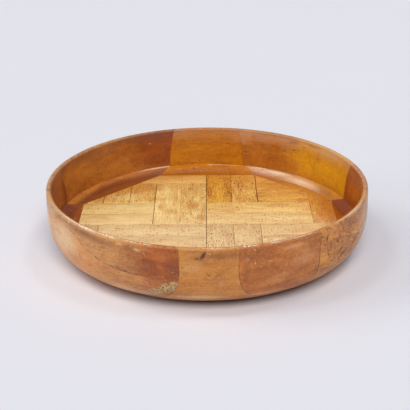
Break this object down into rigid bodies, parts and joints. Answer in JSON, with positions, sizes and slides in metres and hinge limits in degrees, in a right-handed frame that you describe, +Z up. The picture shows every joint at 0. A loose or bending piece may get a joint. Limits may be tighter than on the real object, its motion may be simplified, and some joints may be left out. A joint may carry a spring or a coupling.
{
  "type": "fruit bowl",
  "caption": "Shallow round wooden fruit bowl: a turned wall of glued boards and corner blocks with a rounded rim, round a flat octagonal floor of parquet strips.",
  "frame": {"origin": "centre of the flat foot, on the turning axis, at the level of the table", "axes": "+Z up, out of the bowl's mouth; the front corner block faces -Y, so +X is to its right and +Y to the back"},
  "size_m": [0.2962, 0.2962, 0.0635],
  "materials": {
    "wall_orange": "satin varnish, worn",
    "wall_red_brown": "satin varnish, worn",
    "wall_tan": "satin varnish, worn",
    "wall_amber": "satin varnish, worn",
    "parquet_pale": "satin varnish over open pores",
    "parquet_gold": "satin varnish over open pores",
    "base_wood": "turned, thinly varnished"
  },
  "bodies": {
    "root": {"wall_board_front_left": "wall_tan", "wall_board_back_left": "wall_orange", "wall_board_back_right": "wall_amber", "wall_board_front_right_near": "wall_red_brown", "wall_board_front_right_far": "wall_tan", "corner_block_front": "wall_orange", "corner_block_right": "wall_red_brown", "corner_block_back": "wall_orange", "corner_block_left": "wall_red_brown", "parquet_back_long_1": "parquet_pale", "parquet_back_long_2": "parquet_gold", "parquet_back_edge_1": "parquet_gold", "parquet_back_edge_2": "parquet_pale", "parquet_back_short_1": "parquet_gold", "parquet_back_short_2": "parquet_pale", "parquet_back_cross": "parquet_pale", "parquet_back_tip": "parquet_gold", "parquet_right_long_1": "parquet_pale", "parquet_right_long_2": "parquet_gold", "parquet_right_edge_1": "parquet_gold", "parquet_right_edge_2": "parquet_pale", "parquet_right_short_1": "parquet_gold", "parquet_right_short_2": "parquet_pale", "parquet_right_cross": "parquet_pale", "parquet_right_tip": "parquet_gold", "parquet_front_long_1": "parquet_pale", "parquet_front_long_2": "parquet_gold", "parquet_front_edge_1": "parquet_gold", "parquet_front_edge_2": "parquet_pale", "parquet_front_short_1": "parquet_gold", "parquet_front_short_2": "parquet_pale", "parquet_front_cross": "parquet_pale", "parquet_front_tip": "parquet_gold", "parquet_left_long_1": "parquet_pale", "parquet_left_long_2": "parquet_gold", "parquet_left_edge_1": "parquet_gold", "parquet_left_edge_2": "parquet_pale", "parquet_left_short_1": "parquet_gold", "parquet_left_short_2": "parquet_pale", "parquet_left_cross": "parquet_pale", "parquet_left_tip": "parquet_gold", "base_board": "base_wood"}
  },
  "joints": []
}
